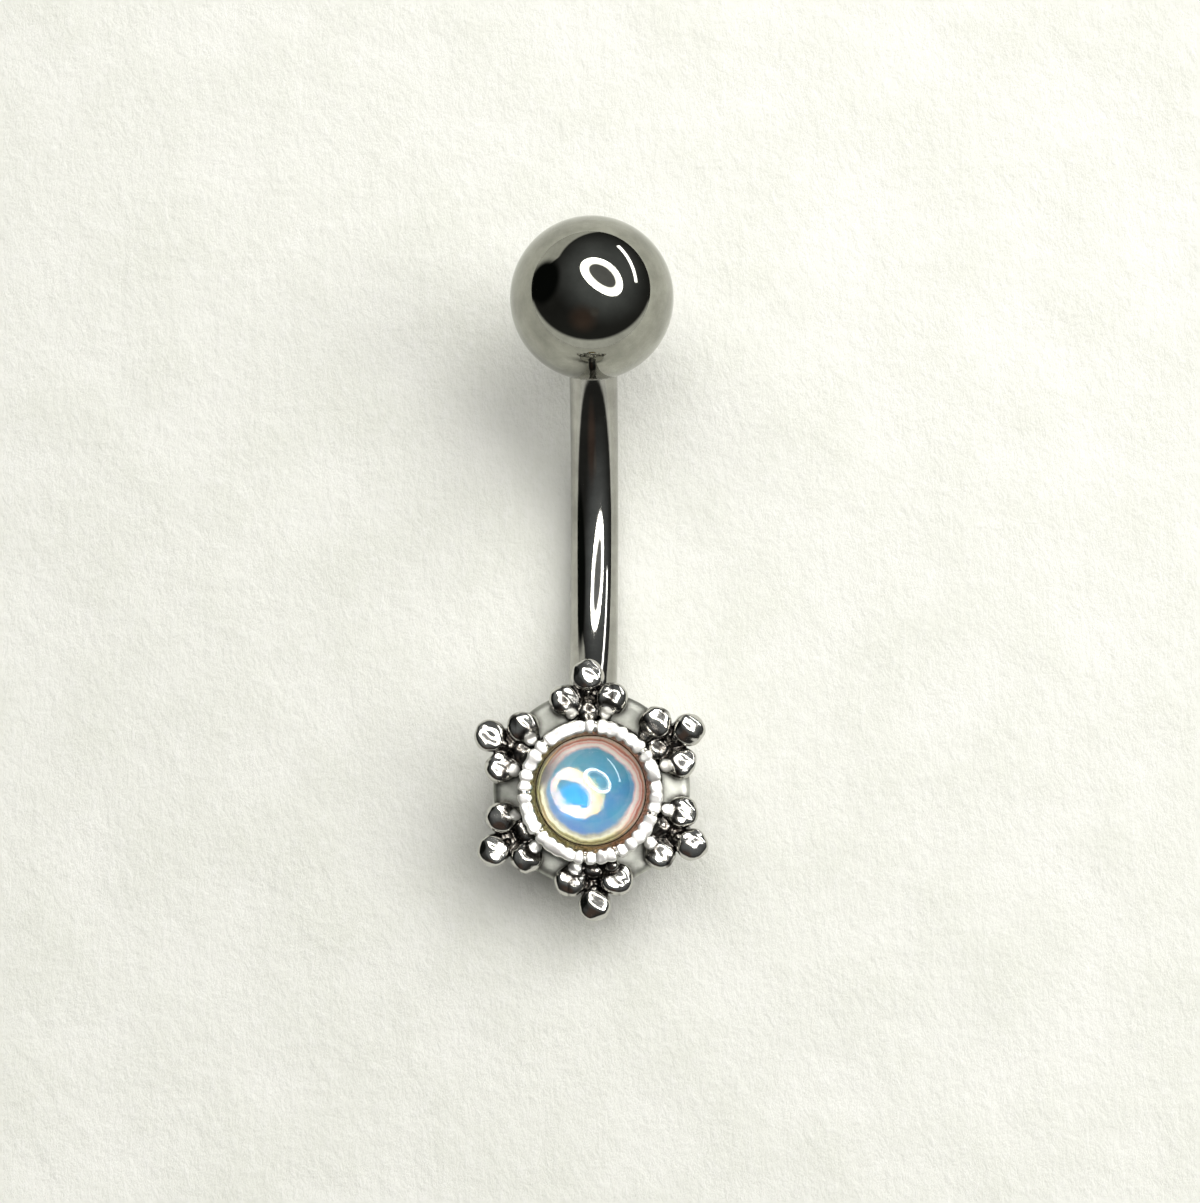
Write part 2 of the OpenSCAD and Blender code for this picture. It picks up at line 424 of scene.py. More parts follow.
# How the forms of the casting run into each other, how far edges are eased, and how wide creases are
BEVEL_SLOPE = 3
WALL_FOOT_DEPTH = 0.6
WALL_EDGE = 0.03
WALL_BLEND = 0.12
RIM_BLEND = 0.04
SEAT_EDGE = 0.04
SOCKET_EDGE = 0.02
WALL_CREASE = 0.1
BEAD_CREASE = 0.13
BEAD_REACH = 0.3
RIM_CAST_SHARE = 0.6


def setting_field(p):
    """The whole casting, and how deep in a crease a point lies (1 at the bottom)."""
    cup = cup_field(p)
    ring = np.hypot(p[:, 0], p[:, 1])
    bevel = (p[:, 2] - BEVEL_Z - BEVEL_SLOPE * (ring - SEAT_R)) / math.sqrt(1 + BEVEL_SLOPE ** 2)
    wall_top = np.maximum(p[:, 2] - RIM_Z, bevel)
    wall = common(ring - BEZEL_R, np.maximum(wall_top, -p[:, 2] - WALL_FOOT_DEPTH), WALL_EDGE)
    body = join(cup, wall, WALL_BLEND)
    crease = np.exp(-(np.abs(cup - wall) / WALL_CREASE) ** 2)
    rough_cast = unevenness(p, CAST_WAVES)
    body = join(body, rim_field(p, GRAIN_SIZES, NICKS) + RIM_CAST_SHARE * rough_cast, RIM_BLEND)
    hollow = np.maximum(ring - SEAT_R, SEAT_Z - p[:, 2])
    body = common(body, -hollow, SEAT_EDGE)
    for middle, radius, top, lean, blend in SHAPES:
        near = np.flatnonzero(np.all(np.abs(p - np.array(middle)) < radius + BEAD_REACH, axis=1))
        bead = bead_field(p[near], middle, radius, top, lean) + rough_cast[near]
        width = min(BEAD_CREASE, 0.4 * radius)
        crease[near] = np.maximum(crease[near], np.exp(-((np.abs(body[near] - bead) / width) ** 2)))
        body[near] = join(body[near], bead, blend)
    start = bend_point(-SETTING_SIDE_ANGLE) - to_setting
    way = -bend_way(-SETTING_SIDE_ANGLE)
    lead_in = 2 * BAR_R
    socket = np.minimum(
        post(p, start - lead_in * way, way, BAR_R + GAP, lead_in + SHANK_L + GAP),
        post(p, start, way, PEG_R + GAP, SHANK_L + PEG_L + GAP),
    )
    body = common(body, -socket, SOCKET_EDGE)
    return body, crease


def ease(value, start, end):
    """0 before start and 1 after end, smooth between them."""
    share = np.clip((value - start) / (end - start), 0, 1)
    return share * share * (3 - 2 * share)


# Where the hollow between three beads ends: off its middle, upwards and downwards
HOLLOW_OUT = (0.45, 0.25)
HOLLOW_TOP = (0.17, 0.04)
HOLLOW_BOTTOM = (-0.45, -0.25)


# This depth marks where the casting's material paints shade into the hollow
def hollow_depth(p):
    """How far a point lies down in the hollow between the three beads of a cluster."""
    depth = np.zeros(len(p))
    for angle in cluster_angles():
        middle = polar(HOLLOW_BEAD[0], angle)
        apart = np.hypot(p[:, 0] - middle[0], p[:, 1] - middle[1])
        inside = ease(apart, *HOLLOW_OUT) * ease(p[:, 2], *HOLLOW_TOP) * ease(p[:, 2], *HOLLOW_BOTTOM)
        depth = np.maximum(depth, inside)
    return depth


# Neck beads that are thinner and lower than this are frosted like the rim
FROSTED_BEAD_R = 0.27
FROSTED_BEAD_Z = 0.035
FROSTED_BEAD_SHARES = (0.95, 0.55)
FROSTED_BEAD_TOP = (0.08, 0.16)
FROSTED_BEAD_UP = (0.3, 0.6)
# Heights, distances out and upward parts of the surface's direction between which the zones begin
CREST_Z = (0.72, 0.86)
CREST_UP = (0.35, 0.6)
SHOULDER_BOTTOM = (-0.8, -0.55)
SHOULDER_TOP = (-0.05, -0.15)
SHOULDER_UP = (0.0, 0.3)
SHOULDER_INNER_R = (2.14, 2.2)
SHOULDER_OUTER_R = (3.1, 3.02)
SLOPE_R = (1.87, 1.82)
SLOPE_Z = (0.1, 0.2)
SLOPE_UP = (0.75, 0.5)


def casting_zones(p, up):
    """Shares of the frosted rim and neck beads, of the flat shoulder and of the slope inside the rim."""
    ring = np.hypot(p[:, 0], p[:, 1])
    z = p[:, 2]
    crest = ease(z, *CREST_Z) * ease(up, *CREST_UP)
    for middle, radius, *_ in SHAPES:
        if radius < FROSTED_BEAD_R and middle[2] < FROSTED_BEAD_Z:
            apart = np.hypot(p[:, 0] - middle[0], p[:, 1] - middle[1])
            outer, inner = (share * radius for share in FROSTED_BEAD_SHARES)
            bead = ease(apart, outer, inner) * ease(z, *FROSTED_BEAD_TOP) * ease(up, *FROSTED_BEAD_UP)
            crest = np.maximum(crest, bead)
    level = ease(z, *SHOULDER_BOTTOM) * ease(z, *SHOULDER_TOP)
    shoulder = level * ease(up, *SHOULDER_UP) * ease(ring, *SHOULDER_INNER_R) * ease(ring, *SHOULDER_OUTER_R)
    slope = ease(ring, *SLOPE_R) * ease(z, *SLOPE_Z) * ease(up, *SLOPE_UP)
    return np.stack([crest, shoulder, slope], 1)


NET_STEP = 0.048
NET_MARGIN = 0.1
NET_TOP = RIM_Z + 0.35
NET_PARTS = 24


def net_surface(field, low, high, step):
    """Points and quads of a field's zero surface, one point for each cell of a grid that it crosses."""
    axes = [np.arange(lo, hi + step, step) for lo, hi in zip(low, high)]
    shape = tuple(len(a) for a in axes)
    grid = np.stack(np.meshgrid(*axes, indexing="ij"), -1).reshape(-1, 3)
    value = np.concatenate([field(part)[0] for part in np.array_split(grid, NET_PARTS)]).reshape(shape)
    cells = tuple(n - 1 for n in shape)
    total = np.zeros(cells + (3,))
    count = np.zeros(cells)
    crossings = []
    for axis in range(3):
        others = [k for k in range(3) if k != axis]
        near = [slice(None)] * 3
        far = [slice(None)] * 3
        near[axis] = slice(0, -1)
        far[axis] = slice(1, None)
        a, b = value[tuple(near)], value[tuple(far)]
        crossed = (a < 0) != (b < 0)
        index = np.argwhere(crossed)
        share = a[crossed] / (a[crossed] - b[crossed])
        point = np.array(low) + index * step
        point[:, axis] += share * step
        crossings.append((axis, index, a[crossed] < 0))
        for back_0 in (0, 1):
            for back_1 in (0, 1):
                cell = index.copy()
                cell[:, others[0]] -= back_0
                cell[:, others[1]] -= back_1
                fine = np.all((cell >= 0) & (cell < np.array(cells)), axis=1)
                where = tuple(cell[fine].T)
                np.add.at(total, where, point[fine])
                np.add.at(count, where, 1)
    used = count > 0
    number = -np.ones(cells, int)
    number[used] = np.arange(used.sum())
    points = total[used] / count[used][:, None]
    quads = []
    for axis, index, outward in crossings:
        corners = []
        for back_0, back_1 in ((1, 1), (0, 1), (0, 0), (1, 0)):
            cell = index.copy()
            cell[:, (axis + 1) % 3] -= back_0
            cell[:, (axis + 2) % 3] -= back_1
            corners.append(number[tuple(cell.T)])
        quad = np.stack(corners, 1)
        quad[~outward] = quad[~outward][:, ::-1]
        quads.append(quad)
    return points, np.concatenate(quads)


def slope_of(field, p, reach=0.002):
    """The field's gradient."""
    parts = []
    for axis in range(3):
        shift = np.zeros(3)
        shift[axis] = reach
        parts.append((field(p + shift)[0] - field(p - shift)[0]) / (2 * reach))
    return np.stack(parts, 1)


def settle(field, points, quads, step, rounds=3):
    """Evens the net out and draws its points onto the surface."""
    edges = np.concatenate([quads[:, [k, (k + 1) % 4]] for k in range(4)])
    for _ in range(rounds):
        total = np.zeros_like(points)
        count = np.zeros(len(points))
        for a, b in ((0, 1), (1, 0)):
            np.add.at(total, edges[:, a], points[edges[:, b]])
            np.add.at(count, edges[:, a], 1)
        points = 0.5 * points + 0.5 * total / count[:, None]
        for _ in range(2):
            slope = slope_of(field, points)
            push = field(points)[0] / np.maximum((slope ** 2).sum(1), 0.1)
            points = points - np.clip(push, -step, step)[:, None] * slope
    return points


def build_setting():
    reach = TIP_BEAD_R + BEAD_R + NET_MARGIN
    low = (-reach, -reach, -CUP_DEPTH - NET_MARGIN)
    high = (reach, reach, NET_TOP)
    points, quads = net_surface(setting_field, low, high, NET_STEP)
    points = settle(setting_field, points, quads, NET_STEP)
    slope = slope_of(setting_field, points)
    slope /= np.linalg.norm(slope, axis=1)[:, None]
    crease = setting_field(points)[1]
    matrix = TO_FRAME @ Matrix.Translation(to_setting)
    piece = new_piece("cast_setting", points, quads, matrix, sharp=math.pi)
    turn = np.array(tipped.to_3x3())
    piece.data.normals_split_custom_set_from_vertices((slope @ turn.T).astype(np.float32))
    # The recess attribute marks creases and hollows, where the casting's material paints dark shade
    recess = piece.data.attributes.new("recess", "FLOAT", "POINT")
    crease = np.maximum(crease, hollow_depth(points))
    recess.data.foreach_set("value", np.clip(crease, 0, 1).astype(np.float32))
    zones = piece.data.attributes.new("zones", "FLOAT_VECTOR", "POINT")
    zones.data.foreach_set("vector", casting_zones(points, slope[:, 2]).astype(np.float32).ravel())
    return piece


# The stone, and the foil that is glued to its back
GLUE_DEPTH = 0.01
STONE_EDGE = 0.05
STONE_LINES = 64
FOIL_EDGE = 0.02
FOIL_LINES = 24


def build_stone():
    middle = to_setting + (SEAT_Z + GAP + FOIL_T + GAP) * UP
    radius = (STONE_R ** 2 + DOME_H ** 2) / (2 * DOME_H)
    bottom = -GAP - GLUE_DEPTH
    rows = [(bottom, POLE_R), (bottom, 0.8 * STONE_R), (bottom, STONE_R - STONE_EDGE)]
    rows += [(bottom + STONE_EDGE, STONE_R), (GIRDLE_H, STONE_R)]
    start = math.asin(STONE_R / radius)
    for n in range(1, STONE_LINES):
        angle = start * (1 - n / STONE_LINES)
        rows.append((GIRDLE_H + DOME_H - radius + radius * math.cos(angle), radius * math.sin(angle)))
    rows.append((GIRDLE_H + DOME_H, POLE_R))
    return turned("glass_dome", rows, ROUND, middle)


def build_foil():
    middle = to_setting + (SEAT_Z + GAP) * UP
    flat_r = STONE_R - FOIL_EDGE
    rows = [(0, POLE_R), (0, flat_r), (FOIL_T / 2, STONE_R)]
    for n in range(FOIL_LINES):
        rows.append((FOIL_T, flat_r * (1 - n / FOIL_LINES)))
    rows.append((FOIL_T, POLE_R))
    return turned("foil_disc", rows, ROUND, middle)


# Materials
def shader(name):
    """A new material, its node tree and its main shader."""
    material = bpy.data.materials.new(name)
    material.use_nodes = True
    tree = material.node_tree
    return material, tree, tree.nodes["Principled BSDF"]


def feed(tree, node, inputs):
    """Sets a node's inputs, each to a value or to another node's output."""
    for key, value in inputs.items():
        if isinstance(value, bpy.types.NodeSocket):
            tree.links.new(value, node.inputs[key])
        else:
            node.inputs[key].default_value = value


def add(tree, kind, inputs=None, **settings):
    """A new node with its settings and inputs."""
    node = tree.nodes.new(kind)
    for key, value in settings.items():
        setattr(node, key, value)
    feed(tree, node, inputs or {})
    return node


def calculated(tree, operation, *values):
    """The result of an operation on up to three numbers."""
    return add(tree, "ShaderNodeMath", dict(enumerate(values)), operation=operation).outputs[0]


def weighted(tree, start, *terms):
    """start, and each term's value times its factor added to it."""
    total = start
    for value, factor in terms:
        total = calculated(tree, "MULTIPLY_ADD", value, factor, total)
    return total


def times(tree, *values):
    result = values[0]
    for value in values[1:]:
        result = calculated(tree, "MULTIPLY", result, value)
    return result


def vector_of(tree, operation, *vectors):
    """The result of an operation on vectors."""
    return add(tree, "ShaderNodeVectorMath", dict(enumerate(vectors)), operation=operation).outputs[0]


def scaled(tree, vector, factor):
    return add(tree, "ShaderNodeVectorMath", {0: vector, "Scale": factor}, operation="SCALE").outputs[0]


def dot(tree, a, b):
    return add(tree, "ShaderNodeVectorMath", {0: a, 1: b}, operation="DOT_PRODUCT").outputs["Value"]


def angle_to(tree, where, way):
    return calculated(tree, "ARCCOSINE", dot(tree, where, way))


def spread(tree, value, low, high, to_low=0.0, to_high=1.0, kind="LINEAR"):
    """A number from low to high, turned into one from to_low to to_high and held at their ends."""
    inputs = {"Value": value, "From Min": low, "From Max": high, "To Min": to_low, "To Max": to_high}
    return add(tree, "ShaderNodeMapRange", inputs, interpolation_type=kind).outputs["Result"]


def step_up(tree, value, start, end):
    """0 up to start and 1 from end, smooth between them."""
    return spread(tree, value, start, end, kind="SMOOTHSTEP")


def mixed(tree, share, a, b):
    """The colour a where share is 0 or less, and b where it is 1 or more."""
    node = add(tree, "ShaderNodeMix", data_type="RGBA")
    sockets = {socket.name: socket for socket in node.inputs if socket.enabled}
    tree.links.new(share, sockets["Factor"])
    for key, colour in (("A", a), ("B", b)):
        if isinstance(colour, bpy.types.NodeSocket):
            tree.links.new(colour, sockets[key])
        else:
            sockets[key].default_value = (*colour, 1)
    return next(socket for socket in node.outputs if socket.enabled)


def ramp_of(tree, value, stops):
    """A colour ramp from (position, colour) stops."""
    ramp = add(tree, "ShaderNodeValToRGB", {"Fac": value})
    first, last = ramp.color_ramp.elements
    first.position, first.color = stops[0][0], (*stops[0][1], 1)
    last.position, last.color = stops[-1][0], (*stops[-1][1], 1)
    for position, colour in stops[1:-1]:
        ramp.color_ramp.elements.new(position).color = (*colour, 1)
    return ramp.outputs["Color"]


def place_of(tree, squeeze=(1, 1, 1)):
    """Object coordinates in millimetres."""
    where = add(tree, "ShaderNodeTexCoord")
    scale = tuple(s / MM for s in squeeze)
    mapping = add(tree, "ShaderNodeMapping", {"Vector": where.outputs["Object"], "Scale": scale})
    return mapping.outputs["Vector"]


def from_middle(tree):
    """How far right and up a point lies from the stone's middle, in stone radii, and its whole offset."""
    where = add(tree, "ShaderNodeTexCoord").outputs["Object"]
    off = vector_of(tree, "SUBTRACT", where, TO_FRAME @ to_setting)
    right, upward = (dot(tree, off, tuple(way / (STONE_R * MM)))
                     for way in (ALONG_X, tipped.to_3x3() @ Vector((0, 1, 0))))
    return right, upward, off


def noise(tree, where, scale, detail=4.0, roughness=0.5):
    inputs = {"Vector": where, "Scale": scale, "Detail": detail, "Roughness": roughness}
    return add(tree, "ShaderNodeTexNoise", inputs).outputs["Fac"]


def bump(tree, height, strength, distance, normal=None):
    inputs = {"Height": height, "Strength": strength, "Distance": distance}
    if normal is not None:
        inputs["Normal"] = normal
    return add(tree, "ShaderNodeBump", inputs).outputs["Normal"]


# Steel: colour, roughness, how much the polishing lines are squeezed each way, and their strength
BAR_POLISH = ((0.45, 0.445, 0.41), 0.035, (2.5, 0.15, 0.15), 0.12)
BALL_POLISH = ((0.365, 0.365, 0.32), 0.02, (0.2, 1, 0.2), 0.03)
CLOUD_SHADE = 0.68
# Noises, as scale, detail and roughness
HAZE_NOISE = (0.9, 3)
LINE_NOISE = (6.0, 6, 0.7)
CLOUD_NOISE = (0.8, 5, 0.65)
# How much rougher the haze and the lines make the steel, as shares of its roughness
HAZE_ROUGHER = 1.8
LINES_ROUGHER = 0.8


def polished_steel(name, colour, dull, squeeze, scratches):
    """Mirror-polished steel with a faint haze, soft clouds and fine polishing lines along one direction."""
    material, tree, main = shader(name)
    where = place_of(tree)
    haze = noise(tree, where, *HAZE_NOISE)
    lines = noise(tree, place_of(tree, squeeze), *LINE_NOISE)
    rough = calculated(tree, "ADD", spread(tree, haze, 0.3, 0.7, dull, dull * HAZE_ROUGHER),
                       spread(tree, lines, 0.45, 0.75, 0.0, dull * LINES_ROUGHER))
    clouds = spread(tree, noise(tree, where, *CLOUD_NOISE), 0.35, 0.65)
    feed(tree, main, {
        "Metallic": 1.0,
        "Base Color": mixed(tree, clouds, colour, tuple(c * CLOUD_SHADE for c in colour)),
        "Roughness": rough,
        "Normal": bump(tree, lines, scratches, 0.00001),
    })
    return material


# Colours of the casting, most of them pairs that noise or the place runs between; the shoulder's pair runs
# from painted shade to painted light, the crease colours are painted shade, and the slope's colours are
# painted shade and reflection
POLISHED_METAL = ((0.6, 0.59, 0.56), (0.5, 0.49, 0.45))
FROSTED_METAL = ((1.0, 0.99, 0.96), (0.86, 0.85, 0.82))
MATT_PAINTED_SHADE_TO_LIGHT = ((0.15, 0.155, 0.14), (0.75, 0.76, 0.7))
MATT_PATCH = (0.12, 0.125, 0.11)
CREASE_PAINTED_SHADE = ((0.005, 0.004, 0.0035), (0.035, 0.026, 0.02))
SLOPE_PAINTED_REFLECTION = ((0.62, 0.56, 0.28), (0.7, 0.36, 0.24))
SLOPE_PAINTED_DARK = (0.08, 0.05, 0.03)
# Painted light on the matt shoulder: how lit it is at its middle, and how that grows to the right, upwards
# and with both
SHOULDER_PAINTED_LIGHT = (0.55, 0.085, -0.17, -0.125)
PATCH_NOISE = (1.6, 5)
GRAIN_NOISE = (14.0, 6, 0.65)
# Roughness of the polished metal, and how much each zone adds to it
SHINE = (0.08, 0.17)
CREASE_ROUGHER = 0.08
CREST_ROUGHER = 0.28
SHOULDER_ROUGHER = 0.4
SLOPE_ROUGHER = 0.25


def plated_casting(name):
    """Bright plated metal: polished beads, a frosted rim, a matt shoulder with painted light and shade,
    painted dark brown shade in the creases and painted shade and reflection on the slope inside the rim.
    """
    material, tree, main = shader(name)
    where = place_of(tree)
    recess = add(tree, "ShaderNodeAttribute", attribute_name="recess").outputs["Fac"]
    zones = add(tree, "ShaderNodeAttribute", attribute_name="zones").outputs["Vector"]
    crest, shoulder, slope = add(tree, "ShaderNodeSeparateXYZ", {0: zones}).outputs
    patches = noise(tree, where, *PATCH_NOISE)
    grain = noise(tree, where, *GRAIN_NOISE)
    u, v, _ = from_middle(tree)
    start, per_right, per_up, per_both = SHOULDER_PAINTED_LIGHT
    # Painted light and shade on the shoulder: its colour runs from the shaded to the lit colour with its
    # place right of and above the middle
    light = weighted(tree, start, (times(tree, u, v), per_both), (v, per_up), (u, per_right))
    matt = mixed(tree, light, *MATT_PAINTED_SHADE_TO_LIGHT)
    matt = mixed(tree, spread(tree, patches, 0.35, 0.65, 0.0, 0.6), matt, MATT_PATCH)
    # Painted shade and reflection on the slope inside the rim: olive towards the left, reddish brown towards
    # the right, streaked with painted dark shade
    painted_slope_tint = mixed(tree, spread(tree, u, -0.6, 0.4), *SLOPE_PAINTED_REFLECTION)
    painted_slope_colour = mixed(tree, spread(tree, grain, 0.4, 0.58), SLOPE_PAINTED_DARK, painted_slope_tint)
    # Painted shade: the creases and hollows are darkened to near black brown
    crease_shade = times(tree, recess, spread(tree, grain, 0.3, 0.7, 0.75, 1.1))
    colour = mixed(tree, shoulder, mixed(tree, patches, *POLISHED_METAL), matt)
    colour = mixed(tree, crease_shade, colour, mixed(tree, grain, *CREASE_PAINTED_SHADE))
    colour = mixed(tree, crest, colour, mixed(tree, grain, *FROSTED_METAL))
    rough = weighted(tree, spread(tree, grain, 0.3, 0.75, *SHINE), (recess, CREASE_ROUGHER),
                     (crest, CREST_ROUGHER), (shoulder, SHOULDER_ROUGHER), (slope, SLOPE_ROUGHER))
    feed(tree, main, {
        "Metallic": 1.0,
        "Base Color": mixed(tree, slope, colour, painted_slope_colour),
        "Roughness": rough,
        "Normal": bump(tree, grain, 0.08, 0.00001, bump(tree, patches, 0.45, 0.00006)),
    })
    return material


def clear_glass(name):
    material, tree, main = shader(name)
    where = place_of(tree)
    feed(tree, main, {
        "Base Color": (0.97, 0.99, 1.0, 1),
        "Transmission Weight": 1.0,
        "IOR": 1.5,
        "Roughness": spread(tree, noise(tree, where, 2.0), 0.3, 0.7, 0.0, 0.012),
        "Normal": bump(tree, noise(tree, where, 1.2, 2), 0.04, 0.00003),
    })
    return material


# The foil's colours: its sky from low to high, and its bands from its middle (0) to its edge (1); the bands
# are painted, their white lines as highlights and their coral and gold lines as reflections of the stone's
# edge
SKY = (
    (0.0, (0.1, 0.135, 0.38)), (0.35, (0.05, 0.16, 0.38)), (0.6, (0.05, 0.23, 0.36)),
    (1.0, (0.09, 0.27, 0.35)),
)
SKY_HAZE = (0.25, 0.33, 0.48)
AZURE = (0.025, 0.32, 0.72)
AZURE_PLACE = (-0.2, -0.12, 0.0)
PAINTED_GLINT = (1.0, 1.0, 0.8)
UPPER_LEFT_GREY = (0.215, 0.2, 0.21)
PAINTED_PINK_EDGE = (
    (0.0, (0, 0, 0)), (0.54, (0.45, 0.42, 0.6)), (0.58, (1.0, 0.66, 0.62)), (0.615, (1.0, 0.95, 0.9)),
    (0.65, (1.0, 0.85, 0.78)), (0.68, (0.95, 0.42, 0.36)), (0.71, (1.0, 0.85, 0.75)),
    (0.745, (0.6, 0.15, 0.11)), (0.79, (0.9, 0.45, 0.32)), (0.83, (1.0, 0.88, 0.74)),
    (0.92, (1.0, 0.9, 0.75)), (0.96, (0.3, 0.14, 0.06)), (1.0, (0.12, 0.06, 0.03)),
)
PAINTED_GOLD_EDGE = (
    (0.0, (0, 0, 0)), (0.54, (0.28, 0.33, 0.45)), (0.59, (0.42, 0.4, 0.28)), (0.635, (0.95, 0.95, 0.8)),
    (0.66, (0.9, 0.85, 0.5)), (0.7, (0.3, 0.27, 0.1)), (0.74, (0.16, 0.15, 0.07)),
    (0.77, (0.85, 0.8, 0.4)), (0.8, (0.25, 0.22, 0.1)), (0.86, (0.16, 0.15, 0.08)),
    (0.9, (0.9, 0.85, 0.65)), (0.95, (0.15, 0.12, 0.05)), (1.0, (0.08, 0.06, 0.03)),
)


def foil_colours_and_painted_highlights(tree, u, v, cloud):
    """Teal to violet with an azure patch, and coral and gold bands near the edge that hold painted
    highlights, glints and reflections of the stone's edge.
    """
    where = place_of(tree)
    fine = noise(tree, where, 6.0, 4)
    swing = spread(tree, cloud, 0.3, 0.7, -0.5, 0.5)
    fine_swing = spread(tree, fine, 0.3, 0.7, -0.5, 0.5)
    length = calculated(tree, "SQRT", calculated(tree, "MULTIPLY_ADD", u, u, times(tree, v, v)))
    wander = weighted(tree, length, (swing, 0.06), (fine_swing, 0.025))
    fall = weighted(tree, v, (swing, 0.7))
    sky = ramp_of(tree, spread(tree, fall, -1.05, 0.5), SKY)
    sky = mixed(tree, spread(tree, fine, 0.45, 0.8, 0.0, 0.3), sky, SKY_HAZE)
    flat = add(tree, "ShaderNodeCombineXYZ", {0: u, 1: v}).outputs[0]
    from_azure = add(tree, "ShaderNodeVectorMath", {0: flat, 1: AZURE_PLACE}, operation="DISTANCE")
    sky = mixed(tree, step_up(tree, from_azure.outputs["Value"], 0.29, 0.12), sky, AZURE)
    # Painted glints: short white arcs in the gold band
    painted_glints = times(tree, spread(tree, noise(tree, where, 0.9, 2), 0.48, 0.52),
                   step_up(tree, wander, 0.615, 0.63), step_up(tree, wander, 0.685, 0.67))
    gold = mixed(tree, painted_glints, ramp_of(tree, wander, PAINTED_GOLD_EDGE), PAINTED_GLINT)
    upper_left = times(tree, step_up(tree, u, -0.1, -0.35), step_up(tree, v, -0.05, 0.15),
                       step_up(tree, wander, 0.76, 0.72))
    gold = mixed(tree, upper_left, gold, UPPER_LEFT_GREY)
    # The painted highlight and reflection bands are pink towards the upper right and gold towards the lower
    # left
    warm_side = spread(tree, calculated(tree, "ADD", u, v), -0.35, 0.3)
    bands = mixed(tree, warm_side, gold, ramp_of(tree, wander, PAINTED_PINK_EDGE))
    return mixed(tree, spread(tree, wander, 0.54, 0.59), sky, bands)


# Lean of the foil's mirror layers, right and up in the picture, and how much they are dished
FOIL_LEAN = (-0.03, 0.237)
FOIL_DISH = 0.225
# Each mirror layer's tints at its left and at its right, its roughness and its own lean
MIRROR_LAYERS = (
    ((1.0, 0.88, 0.4), (1.0, 0.8, 0.05), 0.045, 0.045),
    ((1.0, 0.92, 0.9), (1.0, 0.74, 0.12), 0.04, -0.012),
    ((1.0, 0.24, 0.18), (1.0, 0.2, 0.14), 0.085, 0.01),
)
SECOND_LAYER_SHARE = 0.4
RED_LAYER_SHARE = 0.36
MIRROR_SHARE = 0.066


def foil_mirror(tree, u, v, off, cloud):
    """A crumpled, dished mirror of three layers, whose leans set their images a little apart."""
    up = add(tree, "ShaderNodeNewGeometry").outputs["Normal"]
    crumple = bump(tree, cloud, 0.3, 0.0001, up)
    left_end = times(tree, step_up(tree, u, -0.3, -0.4), step_up(tree, v, 0.06, -0.04))
    crumple = bump(tree, noise(tree, place_of(tree), 9.0, 3), left_end, 0.000015, crumple)
    dished = vector_of(tree, "ADD", crumple, scaled(tree, off, -FOIL_DISH / (STONE_R * MM)))
    rightward = spread(tree, u, -0.3, 0.0)
    layers = []
    for left_tint, right_tint, shine, lean in MIRROR_LAYERS:
        tilt = tipped.to_3x3() @ Vector((FOIL_LEAN[0] + lean, FOIL_LEAN[1], 0))
        layer = add(tree, "ShaderNodeBsdfPrincipled", {
            "Base Color": mixed(tree, rightward, left_tint, right_tint),
            "Metallic": 1.0,
            "Roughness": shine,
            "Normal": vector_of(tree, "NORMALIZE", vector_of(tree, "ADD", dished, tuple(tilt))),
        })
        layers.append(layer.outputs[0])
    pale = add(tree, "ShaderNodeMixShader", {0: SECOND_LAYER_SHARE, 1: layers[0], 2: layers[1]}).outputs[0]
    return add(tree, "ShaderNodeMixShader", {0: RED_LAYER_SHARE, 1: pale, 2: layers[2]}).outputs[0]


def shifting_foil(name):
    """Foil that runs from teal to violet, with painted highlights, glints and reflections near its edge,
    under a weak mirror.
    """
    material, tree, pearl = shader(name)
    u, v, off = from_middle(tree)
    cloud = noise(tree, place_of(tree), 1.3, 4)
    feed(tree, pearl, {
        "Base Color": foil_colours_and_painted_highlights(tree, u, v, cloud),
        "Roughness": 0.55,
        "Specular IOR Level": 0.2,
    })
    mirror = foil_mirror(tree, u, v, off, cloud)
    both = add(tree, "ShaderNodeMixShader", {0: MIRROR_SHARE, 1: pearl.outputs[0], 2: mirror}).outputs[0]
    output = next(node for node in tree.nodes if node.type == "OUTPUT_MATERIAL")
    tree.links.new(both, output.inputs["Surface"])
    return material


PAPER_TINTS = ((0.95, 0.955, 0.91), (0.89, 0.9, 0.84))
FIBRE_TINT = (1.0, 1.0, 0.98)
FIBRE_NOISE = (3.0, 8, 0.72)
CLUMP_NOISE = (0.3, 4, 0.55)
# Painted light: the paper's colour gets a little lighter towards the picture's upper right
LIGHTER_WAY = (0.8, 0.6, 0.0)
SHADE_REACH = (-13.0, 16.0)
PAPER_SHADE = (0.835, 0.972)


def paper(name):
    """Pale fibrous paper, with painted light that grows towards the picture's upper right."""
    material, tree, main = shader(name)
    where = place_of(tree)
    fibres = noise(tree, place_of(tree, (1.0, 0.6, 1.0)), *FIBRE_NOISE)
    clumps = noise(tree, where, *CLUMP_NOISE)
    tint = mixed(tree, spread(tree, clumps, 0.35, 0.65), *PAPER_TINTS)
    tint = mixed(tree, spread(tree, fibres, 0.5, 0.75, 0.0, 0.6), tint, FIBRE_TINT)
    # Painted light and shade across the floor
    shade = spread(tree, dot(tree, where, LIGHTER_WAY), *SHADE_REACH, *PAPER_SHADE)
    feed(tree, main, {
        "Base Color": scaled(tree, tint, shade),
        "Roughness": 0.9,
        "Specular IOR Level": 0.2,
        "Normal": bump(tree, fibres, 0.55, 0.0002, bump(tree, clumps, 0.3, 0.0006)),
    })
    return material


# Room: floor, surroundings and light
FLOOR_HALF = 0.6
FLOOR_Z = -0.00001


